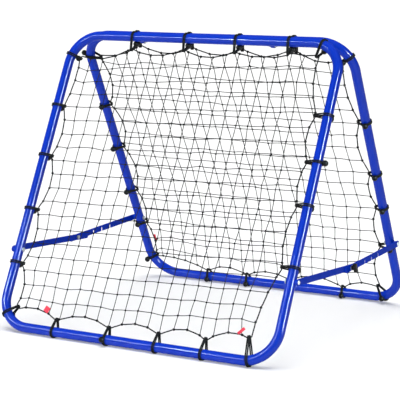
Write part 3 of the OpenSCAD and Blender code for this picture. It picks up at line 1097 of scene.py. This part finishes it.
class REBOUNDER_OT_hinges(bpy.types.Operator):
    """Makes the welded hinge ears and the bolts, nuts and washers through them"""

    bl_idname = "rebounder.hinges"
    bl_label = "Hinges"

    def ear(self, x, thickness):
        """An ear on the front tube: a round end at the pin, straight sides to the tube."""
        tube = Vector((-TOP_GAP / 2, TOP_Z))
        pin = Vector(PIVOT)
        ahead = (pin - tube).normalized()
        across = Vector((-ahead.y, ahead.x))
        root = tube + (math.sqrt(TUBE_R**2 - EAR_R**2) - OVERLAP) * ahead
        outline = [root + EAR_R * across, root - EAR_R * across]
        for u, v in arc((0, 0), EAR_R, -math.pi / 2, math.pi / 2, 24):
            outline.append(pin + u * ahead + v * across)
        ear = plate([tuple(point) for point in outline], x, thickness)
        bolt_hole(ear, x, x + thickness, PIVOT)
        soften(ear, 0.0006)
        return ear

    def bead(self, outline):
        """A weld bead with fine ripples along a line of points."""
        points, radii = [], []
        for here, there in zip(outline, outline[1:]):
            steps = max(3, round((there - here).length / BEAD_STEP))
            points += [here.lerp(there, step / steps) for step in range(steps)]
        points.append(outline[-1])
        for index in range(len(points)):
            taper = min(1.0, min(index, len(points) - 1 - index) / 4 + 0.35)
            radii.append(taper * (BEAD_R + BEAD_RIPPLE * math.sin(index * math.tau / 4)))
        return tube_mesh("bead", [(points, radii, False)], 10)

    def on_tube(self, x, turn):
        """Point just proud of the front tube, turn away from the direction of the pin."""
        tube = Vector((-TOP_GAP / 2, TOP_Z))
        ahead = Vector(PIVOT) - tube
        angle = math.atan2(ahead.y, ahead.x) + turn
        reach = TUBE_R + BEAD_RISE
        return Vector((x, tube.x + reach * math.cos(angle), tube.y + reach * math.sin(angle)))

    def lugs(self, plates, outer_beads):
        """Ears at the given X and thicknesses, with the weld beads round them."""
        pieces = []
        edge = math.asin(EAR_R / TUBE_R)
        for x, thickness in plates:
            pieces.append(self.ear(x, thickness))
            low, high = x + BEAD_INSET, x + thickness - BEAD_INSET
            for turn in (-edge - BEAD_TURN, edge + BEAD_TURN):
                pieces.append(self.bead([self.on_tube(low, turn), self.on_tube(high, turn)]))
        for x in outer_beads:
            turns = [edge * (step / 12 - 1) for step in range(25)]
            pieces.append(self.bead([self.on_tube(x, turn) for turn in turns]))
        return both_sides(joined(pieces))

    def execute(self, context):
        paint = finish_of("frame_paint")
        ear_t = EAR_OUT - EAR_IN
        bead_out = EAR_OUT + BEAD_BESIDE
        front = self.lugs(
            [(HINGE_X + EAR_IN, ear_t), (HINGE_X - EAR_OUT, ear_t)],
            [HINGE_X + bead_out, HINGE_X - bead_out],
        )
        dress(front, "front_hinge_lugs", paint, CRISP)
        rear = self.lugs([(HINGE_X - MIDDLE_EAR, 2 * MIDDLE_EAR)], [])
        move(rear, TO_REAR)
        dress(rear, "rear_hinge_lugs", paint, CRISP)

        zinc = finish_of("zinc")
        washer_out = EAR_OUT + WASHER_T
        grip, past_nut = 2 * washer_out + NUT_H, 0.002
        bolt = hex_bolt(grip + past_nut)
        move(bolt, along_x(HINGE_X + washer_out, PIVOT) @ Matrix.Rotation(math.pi, 4, "X"))
        dress(both_sides(bolt), "hinge_bolts", zinc)
        nut = move(hex_nut(NUT_H), along_x(HINGE_X - washer_out - NUT_H, PIVOT))
        dress(both_sides(nut), "hinge_nuts", zinc)
        washer = flat_washer(WASHER_T)
        places = [along_x(HINGE_X + EAR_OUT, PIVOT), along_x(HINGE_X - washer_out, PIVOT)]
        washers = both_sides(copies(washer, places))
        dress(washers, "hinge_washers", zinc)
        return {"FINISHED"}


def hexagon(height, chamfered):
    """A hexagon standing on Z = 0; chamfered names the ends that are turned down: top, low."""
    radius = NUT_FLATS / math.sqrt(3)
    body = move(new_cylinder(6, radius, height), Matrix.Translation((0, 0, height / 2)))
    corner, flat, drop = radius + 0.0003, NUT_FLATS / 2 * 0.97, 0.0009
    low, top = [(corner, -OVERLAP)], [(corner, height + OVERLAP)]
    if "low" in chamfered:
        low = [(flat, 0.0), (corner, drop)]
    if "top" in chamfered:
        top = [(corner, height - drop), (flat, height)]
    combine(body, turned(low + top, 48), "INTERSECT")
    return body


def thread(start, end):
    """Profile of a coarse thread, as rings, from one height up to another."""
    profile = []
    height = start
    while height + THREAD_PITCH < end:
        profile += [(BOLT_R, height), (BOLT_R * 0.87, height + THREAD_PITCH / 2)]
        height += THREAD_PITCH
    return profile + [(BOLT_R, height), (BOLT_R * 0.8, end)]


def shank(start, threaded, end):
    """A bolt's shank along +Z from start to end, with its thread from a height on."""
    return turned([(BOLT_R, start)] + thread(threaded, end), 24)


def hex_bolt(length):
    """Hexagon-head bolt along +Z: its head below Z = 0, threaded at the far end."""
    head = hexagon(HEAD_H, "low")
    move(head, Matrix.Translation((0, 0, -HEAD_H)))
    return joined([head, shank(-OVERLAP, length - HINGE_THREAD, length)])


def hex_nut(height):
    nut = hexagon(height, "top low")
    play = 0.00003
    drill(nut, BOLT_R + play, Vector((0, 0, -height)), Vector((0, 0, 2 * height)))
    return nut


def flat_washer(thickness, bore=HOLE_R):
    edge = 0.0002
    profile = [
        (bore, 0.0),
        (WASHER_R - edge, 0.0),
        (WASHER_R, edge),
        (WASHER_R, thickness - edge),
        (WASHER_R - edge, thickness),
        (bore, thickness),
    ]
    return turned(profile, 40, ring=True)


class REBOUNDER_OT_braces(bpy.types.Operator):
    """Cuts the plain front bars and the notched rear bars"""

    bl_idname = "rebounder.braces"
    bl_label = "Brace bars"

    def capsule(self, length, notches=()):
        """Outline of a bar along +U from its pivot, with round ends and slots from the +V edge."""
        half, quarter = BAR_W / 2, math.pi / 2
        outline = arc((0, 0), half, quarter, 3 * quarter, 16)
        outline += arc((length, 0), half, -quarter, quarter, 16)
        for at in notches:
            outline.append((at + NOTCH_R, half))
            outline += arc((at, 0), NOTCH_R, 0, -2 * quarter, 12)
            outline.append((at - NOTCH_R, half))
        return outline

    def bar(self, x, start, tail, notched):
        """A bar from its bolt at start, past the clamp."""
        reach = Vector(CLAMP) - Vector(start)
        count = NOTCHES if notched else 0
        notches = [reach.length - index * NOTCH_PITCH for index in range(count)]
        outline = self.capsule(reach.length + tail - BAR_W / 2, notches)
        ahead = reach.normalized()
        across = Vector((-ahead.y, ahead.x))
        placed = [tuple(Vector(start) + u * ahead + v * across) for u, v in outline]
        bar = plate(placed, x, BAR_T)
        holes = [Vector(start)] if notched else [Vector(start), Vector(CLAMP)]
        for at in holes:
            bolt_hole(bar, x, x + BAR_T, at)
        soften(bar, 0.0005)
        return bar

    def execute(self, context):
        paint = finish_of("brace_paint")
        front = self.bar(FRONT_BAR_X, leg_point(-1, FRONT_BOLT_S), FRONT_TAIL, False)
        rear = self.bar(REAR_BAR_X, leg_point(1, REAR_BOLT_S), REAR_TAIL, True)
        dress_pair(front, "front_brace", paint, CRISP)
        dress_pair(rear, "rear_brace", paint, CRISP)
        return {"FINISHED"}


class REBOUNDER_OT_brace_bolts(bpy.types.Operator):
    """Makes the domed bolts, nuts and spacers that hold the bars to the side tubes"""

    bl_idname = "rebounder.brace_bolts"
    bl_label = "Brace bolts"

    def domed_bolt(self, length):
        """Domed head above Z = 0 and a threaded shank below it."""
        head_r, dome_r, top, tip = 0.007, 0.009, 0.004, 0.0004
        profile = [(head_r - 0.0003, 0.0), (head_r, 0.0004)]
        for step in range(9):
            height = top * step / 8
            width = math.sqrt(max(0.0, dome_r**2 - (height - top + dome_r) ** 2))
            if width < head_r:
                profile.append((max(width, tip), height))
        stem = shank(-OVERLAP, length - BRACE_THREAD, length)
        return joined([turned(profile, 40), move(stem, Matrix.Rotation(math.pi, 4, "X"))])

    def spacer(self, way, at, bar_x):
        """Sleeve hollowed to sit on the round tube."""
        sleeve = flat_washer(bar_x - CLEARANCE - LEG_FACE + SADDLE)
        move(sleeve, along_x(LEG_FACE - SADDLE, at))
        tube = new_cylinder(96, TUBE_R, 0.06)
        lean = Matrix.Rotation(way * LEAN, 4, "X")
        move(tube, Matrix.Translation((HALF_WIDTH, *at)) @ lean)
        combine(sleeve, tube, "DIFFERENCE")
        return sleeve

    def execute(self, context):
        zinc, dark, paint = finish_of("zinc"), finish_of("dark_zinc"), finish_of("frame_paint")
        inner_x, past_nut = HALF_WIDTH - TUBE_R - THIN_NUT_H, 0.001
        kinds = (("front", -1, FRONT_BOLT_S, FRONT_BAR_X), ("rear", 1, REAR_BOLT_S, REAR_BAR_X))
        for kind, way, s, bar_x in kinds:
            at = leg_point(way, s)
            head_x = bar_x + BAR_T + CLEARANCE
            bolt = self.domed_bolt(head_x - inner_x + past_nut)
            move(bolt, along_x(head_x, at))
            dress(both_sides(bolt), f"{kind}_brace_bolts", zinc)
            nut = move(hex_nut(THIN_NUT_H), along_x(inner_x, at))
            dress(both_sides(nut), f"{kind}_brace_nuts", dark)
            spacer = self.spacer(way, at, bar_x)
            dress(both_sides(spacer), f"{kind}_brace_spacers", paint)
        return {"FINISHED"}


class REBOUNDER_OT_clamps(bpy.types.Operator):
    """Makes the clamp bolts, their outer studs and the washers under the knobs"""

    bl_idname = "rebounder.clamps"
    bl_label = "Clamps"

    def execute(self, context):
        dark = finish_of("dark_zinc")
        edge = 0.0004
        profile = [
            (CLAMP_HEAD_R - edge, 0.0),
            (CLAMP_HEAD_R, edge),
            (CLAMP_HEAD_R, CLAMP_HEAD_H - edge),
            (CLAMP_HEAD_R - edge, CLAMP_HEAD_H),
            (BOLT_R, CLAMP_HEAD_H),
            (BOLT_R, CLAMP_HEAD_H + BAR_T),
        ]
        bolt = move(turned(profile, 40), along_x(FRONT_BAR_X - CLAMP_HEAD_H, CLAMP))
        stud = shank(0.0, STUD_PLAIN, KNOB_X + STUD_REACH - REAR_BAR_X)
        move(stud, along_x(REAR_BAR_X, CLAMP))
        washer = move(flat_washer(CLAMP_WASHER_T, BOLT_R), along_x(REAR_BAR_OUT, CLAMP))
        dress_pair(bolt, "clamp_bolt", dark)
        dress_pair(stud, "clamp_stud", dark)
        dress_pair(washer, "clamp_washer", finish_of("zinc"))
        return {"FINISHED"}


class REBOUNDER_OT_knobs(bpy.types.Operator):
    """Moulds the wing knobs"""

    bl_idname = "rebounder.knobs"
    bl_label = "Wing knobs"

    def knob(self):
        """A wing knob along +Z, its wing along X and slightly waisted."""
        boss = turned([(0.0066, 0.0), (0.007, 0.0004), (0.007, 0.0065), (0.0058, 0.0105)], 40)
        half = arc((WING_HALF_L, 0), WING_HALF_W, -math.pi / 2, math.pi / 2, 14)
        half += [(WAIST_HALF_L, WAIST_HALF_W), (-WAIST_HALF_L, WAIST_HALF_W)]
        outline = half + [(-u, -v) for u, v in half]
        combine(boss, slab(outline, WING_LOW, WING_H), "UNION")
        soften(boss, 0.0016, 3)
        drill(boss, HOLE_R, Vector((0, 0, -OVERLAP)), Vector((0, 0, STUD_REACH + OVERLAP)))
        return boss

    def execute(self, context):
        right = along_x(KNOB_X, CLAMP)
        plastic = finish_of("plastic")
        for side, place in (("right", right), ("left", TO_LEFT @ right)):
            turn = Matrix.Rotation(math.radians(KNOB_TURNS[side]), 4, "Z")
            knob = move(self.knob(), place @ turn)
            dress(knob, side + "_clamp_knob", plastic, 50)
        return {"FINISHED"}


def net_layout(side):
    """The drawn-in line of a border rope and the places of its net's knots."""
    line = rope_line(side)
    grid = knot_grid(side, line)
    last = KNOTS - 1
    ends = []
    for place in range(1, last):
        for key, neighbour in (
            ((place, 0), (place, 1)),
            ((place, last), (place, last - 1)),
            ((0, place), (1, place)),
            ((last, place), (last - 1, place)),
        ):
            ends.append((key, (grid[neighbour] - grid[key]).normalized()))
    drawn = []
    for point in line:
        shift = Vector()
        for key, way in ends:
            distance = (point - grid[key]).length / PULL_SPREAD
            shift += PULL * math.exp(-(distance**2)) * way
        drawn.append(point + shift)
    for key, way in ends:
        grid[key] = grid[key] + PULL * way
    return drawn, grid


def sagged(point):
    """A point of the flat net, let down a little toward the other frame."""
    across = max(0.0, math.cos(math.pi * point.x / (2 * HALF_WIDTH)))
    along = max(0.0, math.sin(-math.pi * point.z / FRAME_LENGTH))
    return point + Vector((0, NET_SAG * across * along, 0))


def small_knot(centre, size, radius, turn, flat=0.8):
    """Closed run for a tight overhand knot lying on the flat frame."""
    points = []
    for step in range(12):
        t = math.tau * step / 12
        u = size * (math.sin(t) + 2 * math.sin(2 * t)) / 3
        v = size * (math.cos(t) - 2 * math.cos(2 * t)) / 3
        points.append(centre + Vector((
            u * math.cos(turn) - v * math.sin(turn),
            -flat * size * math.sin(3 * t) / 2,
            u * math.sin(turn) + v * math.cos(turn),
        )))
    return points, radius, True


class REBOUNDER_OT_nets(bpy.types.Operator):
    """Ties the two square-mesh nets to their border ropes"""

    bl_idname = "rebounder.nets"
    bl_label = "Nets"

    def strand(self, knots, rise, draw, radius):
        """A strand of twine through its knots, slightly slack between them and raised along Y."""
        points = []
        for here, there in zip(knots, knots[1:]):
            bow = Vector([draw.gauss(0, slack) for slack in STRAND_SLACK])
            for step in range(3):
                share = step / 3
                points.append(here.lerp(there, share) + math.sin(math.pi * share) * bow)
        points.append(knots[-1])
        shift = Vector((0, rise, 0))
        return [sagged(point) + shift for point in points], radius, False

    def hitch(self, line, at, radius):
        """Two turns of twine round the border rope."""
        nearest = min(range(len(line)), key=lambda index: (line[index] - at).length)
        ahead = (line[(nearest + 1) % len(line)] - line[nearest - 1]).normalized()
        across = Vector((-ahead.z, 0, ahead.x))
        around = sizes().rope / 2 + 0.8 * radius
        runs = []
        for offset in (-1.1, 1.1):
            centre = line[nearest] + offset * radius * ahead
            ring = arc((0, 0), around, 0, math.tau, 10)[:-1]
            points = [centre + u * across + Vector((0, v, 0)) for u, v in ring]
            runs.append((points, radius, True))
        return runs

    def net(self, side):
        line, grid = net_layout(side)
        radius = sizes().twine / 2
        draw = random.Random(side + " net")
        inner = range(1, KNOTS - 1)
        every = range(KNOTS)
        runs = []
        for place in inner:
            upright = [grid[place, r] for r in every]
            level = [grid[c, place] for c in every]
            runs.append(self.strand(upright, CROSSING_SHIFT, draw, radius))
            runs.append(self.strand(level, -CROSSING_SHIFT, draw, radius))
        for c in inner:
            for r in inner:
                turn = math.pi / 2 * draw.randrange(4) + draw.gauss(0.4, 0.25)
                size = KNOT_SIZE * draw.uniform(0.92, 1.12)
                runs.append(small_knot(sagged(grid[c, r]), size, radius, turn))
        for place in inner:
            for key in ((place, 0), (place, KNOTS - 1), (0, place), (KNOTS - 1, place)):
                runs += self.hitch(line, grid[key], radius)
        net = tube_mesh(side + "_net_twine", runs, 5)
        move(net, PLANES[side])
        dress(net, side + "_net", finish_of("twine"), 0)

    def execute(self, context):
        self.net("front")
        self.net("rear")
        return {"FINISHED"}


class REBOUNDER_OT_border_ropes(bpy.types.Operator):
    """Lays the border rope of each net through its elastic loops"""

    bl_idname = "rebounder.border_ropes"
    bl_label = "Border ropes"

    def execute(self, context):
        for side in ("front", "rear"):
            line, _ = net_layout(side)
            rope = tube_mesh(side + "_rope", [(line, sizes().rope / 2, True)], 12)
            move(rope, PLANES[side])
            dress(rope, side + "_border_rope", finish_of("rope"), 0)
        return {"FINISHED"}


def loop_place(loop):
    """Place of a loop on the flat frame: +X to the net, +Y inward, +Z along the tube."""
    turn = Matrix.Rotation(math.radians(loop.way), 4, "Y")
    return Matrix.Translation(tube_point(loop)) @ turn


def bent_cord(centre, radius, start, end):
    """Points of a cord on an arc in XY, both ends included."""
    steps = max(2, round(abs(end - start) * radius / CORD_BEND_STEP))
    return [Vector((x, y, 0)) for x, y in arc(centre, radius, start, end, steps)]


def straight_cord(start, end):
    """Points of a cord between start and end, neither included."""
    steps = max(2, round((end - start).length / CORD_STEP))
    return [start.lerp(end, step / steps) for step in range(1, steps)]


class REBOUNDER_OT_elastic_loops(bpy.types.Operator):
    """Winds the elastic loops round the tubes and the border ropes"""

    bl_idname = "rebounder.elastic_loops"
    bl_label = "Elastic loops"

    def path(self, loop):
        """Centre line between the two cords of a loop: ball, tube, rope and back to the ball."""
        ball_turn = math.radians(loop.ball)
        beside_ball, into_ball, short_of_ball = 0.12, 0.35, 0.005
        cord_r = sizes().cord / 2
        band = TUBE_R + BAND_GAP + cord_r
        eye = sizes().rope / 2 + EYE_GAP + cord_r
        tangent = math.acos((band - eye) / loop.reach)
        hook, middle = Vector((loop.reach, 0, 0)), Vector((0, 0, 0))
        ball = ball_reach() * Vector((math.cos(ball_turn), math.sin(ball_turn), 0))
        band_points = bent_cord(middle, band, ball_turn + beside_ball, math.tau - tangent)
        start = ball.lerp(band_points[0], into_ball)
        if loop.ball > 90:
            eye_points = bent_cord(hook, eye, -tangent, tangent)
            last = bent_cord(middle, band, tangent, ball_turn - beside_ball)
            back = straight_cord(eye_points[-1], last[0]) + last
            back.append(ball.lerp(last[-1], into_ball))
        else:
            to_ball = ball - hook
            leave = math.atan2(to_ball.y, to_ball.x) - math.acos(eye / to_ball.length)
            eye_points = bent_cord(hook, eye, -tangent, leave)
            ahead = Vector((-math.sin(leave), math.cos(leave), 0))
            end = eye_points[-1] + (to_ball.length - short_of_ball) * ahead
            back = straight_cord(eye_points[-1], end) + [end]
        out = straight_cord(band_points[-1], eye_points[0])
        return [start] + band_points + out + eye_points + back

    def cords(self, loop, draw):
        """The two cords of a loop, side by side and a little uneven."""
        cord_r = sizes().cord / 2
        path = self.path(loop)
        hook = Vector((loop.reach, 0, 0))
        spread = draw.uniform(0.0001, 0.0007)
        slant = draw.uniform(-0.0012, 0.0012)
        gathered, half_gap = 0.03, 0.00005
        runs = []
        for way in (-1, 1):
            points = []
            for index, point in enumerate(path):
                away = min(1.0, (point - hook).length / gathered)
                lean = slant * math.sin(math.pi * index / (len(path) - 1))
                side = way * (cord_r + half_gap + spread * away**2) + lean
                points.append(point + Vector((0, 0, side)))
            runs.append((points, cord_r, False))
        return runs

    def end_knot(self, loop):
        """The tied end of the cord, sunk in the mouth of its ball."""
        turn = math.radians(loop.ball)
        sunk, size, thickness = 0.0022, 0.0021, 0.0011
        reach = ball_reach() + sizes().ball / 2 - sunk
        points, radius, closed = small_knot(Vector(), size, thickness, turn=0.3, flat=0.6)
        ahead = Vector((math.cos(turn), math.sin(turn), 0))
        across = Vector((-ahead.y, ahead.x, 0))
        placed = [
            (reach + point.y) * ahead + point.x * across + Vector((0, 0, point.z))
            for point in points
        ]
        return placed, radius, closed

    def execute(self, context):
        for side in ("front", "rear"):
            draw = random.Random(side + " loops")
            kinds = {"_bungees": [], "_ground_bungees": []}
            for loop in LOOPS[side]:
                place = loop_place(loop)
                kind = "_ground_bungees" if loop.way == GROUND_WAY else "_bungees"
                for points, radius, closed in self.cords(loop, draw) + [self.end_knot(loop)]:
                    kinds[kind].append(([place @ point for point in points], radius, closed))
            for kind, runs in kinds.items():
                cords = move(tube_mesh(side + kind + "_cords", runs, 10), PLANES[side])
                for vertex in cords.data.vertices:
                    vertex.co.z = max(vertex.co.z, 0.0)
                dress(cords, side + kind, finish_of("elastic"), 0)
        return {"FINISHED"}


def ball_reach():
    """Distance from the tube's centre line to the centre of a ball."""
    return TUBE_R + BALL_GAP + sizes().ball / 2


class REBOUNDER_OT_balls(bpy.types.Operator):
    """Moulds the balls that close the elastic loops"""

    bl_idname = "rebounder.balls"
    bl_label = "Balls"

    def ball(self):
        """A ball about the origin with its mouth up and a faint parting line."""
        radius = sizes().ball / 2
        seam = 0.00012
        profile = []
        for degrees in (-84, -72, -60, -48, -36, -24, -12, -2, 0, 2, 12, 24, 36, 48, 58, 66):
            turn = math.radians(degrees)
            reach = radius + (seam if degrees == 0 else 0)
            profile.append((reach * math.cos(turn), reach * math.sin(turn)))
        mouth, height = profile[-1]
        for share, rise in ((0.88, 0.0001), (0.80, -0.0007), (0.78, -0.0040), (0.30, -0.0044)):
            profile.append((mouth * share, height + rise))
        return turned(profile, 28)

    def execute(self, context):
        upright = Matrix.Rotation(math.pi / 2, 4, "Y")
        for side in ("front", "rear"):
            places = []
            for loop in LOOPS[side]:
                turn = Matrix.Rotation(math.radians(loop.ball), 4, "Z")
                reach = Matrix.Translation((ball_reach(), 0, 0))
                places.append(PLANES[side] @ loop_place(loop) @ turn @ reach @ upright)
            balls = copies(self.ball(), places)
            dress(balls, side + "_bungee_balls", finish_of("plastic"), 40)
        return {"FINISHED"}


class REBOUNDER_OT_tags(bpy.types.Operator):
    """Sews the blank tags to the border ropes"""

    bl_idname = "rebounder.tags"
    bl_label = "Tags"

    def tag(self, length, width, curl):
        """A blank tag upright on the flat frame, curled away from the net at its free end."""
        bpy.ops.object.select_all(action="DESELECT")
        bpy.ops.mesh.primitive_grid_add(x_subdivisions=12, y_subdivisions=10, size=1)
        tag = bpy.context.object
        for vertex in tag.data.vertices:
            u, v = vertex.co.x, vertex.co.y
            away = curl * (v + 0.5) ** 2 + TAG_RIPPLE * math.sin(5 * u)
            vertex.co = (u * length, -away, v * width)
        apply_modifier(tag, "SOLIDIFY", thickness=TAG_T, offset=0)
        soften(tag, 0.0002)
        return tag

    def execute(self, context):
        names = {"front": "front_tags", "rear": "rear_tag"}
        for side, rows in TAGS.items():
            tags = []
            for x, s, turn, length, width, curl in rows:
                place = Matrix.Translation((x, -sizes().rope / 2 - TAG_T / 2, -s))
                lean = Matrix.Rotation(math.radians(turn), 4, "Y")
                tags.append(move(self.tag(length, width, curl), PLANES[side] @ place @ lean))
            dress(joined(tags), names[side], finish_of("tag"), 50)
        return {"FINISHED"}


class REBOUNDER_PT_panel(bpy.types.Panel):
    """Lists the settings and the pieces"""

    bl_label = "Rebounder"
    bl_idname = "REBOUNDER_PT_panel"
    bl_space_type = "VIEW_3D"
    bl_region_type = "UI"
    bl_category = "Rebounder"

    def draw(self, context):
        for settings in (context.scene.rebounder_sizes, context.scene.rebounder_colours):
            for name in settings.bl_rna.properties.keys():
                if name not in ("rna_type", "name"):
                    self.layout.prop(settings, name)
        for operator in OPERATORS:
            self.layout.operator(operator.bl_idname)


OPERATORS = (
    REBOUNDER_OT_stage,
    REBOUNDER_OT_tubes,
    REBOUNDER_OT_hinges,
    REBOUNDER_OT_braces,
    REBOUNDER_OT_brace_bolts,
    REBOUNDER_OT_clamps,
    REBOUNDER_OT_knobs,
    REBOUNDER_OT_border_ropes,
    REBOUNDER_OT_nets,
    REBOUNDER_OT_elastic_loops,
    REBOUNDER_OT_balls,
    REBOUNDER_OT_tags,
)
CLASSES = (RebounderSizes, RebounderColours, *OPERATORS, REBOUNDER_PT_panel)


def register():
    for kind in CLASSES:
        bpy.utils.register_class(kind)
    bpy.types.Scene.rebounder_sizes = PointerProperty(type=RebounderSizes)
    bpy.types.Scene.rebounder_colours = PointerProperty(type=RebounderColours)


def unregister():
    del bpy.types.Scene.rebounder_colours
    del bpy.types.Scene.rebounder_sizes
    for kind in reversed(CLASSES):
        bpy.utils.unregister_class(kind)


def main():
    register()
    for operator in OPERATORS:
        family, name = operator.bl_idname.split(".")
        getattr(getattr(bpy.ops, family), name)()


if __name__ == "__main__":
    main()
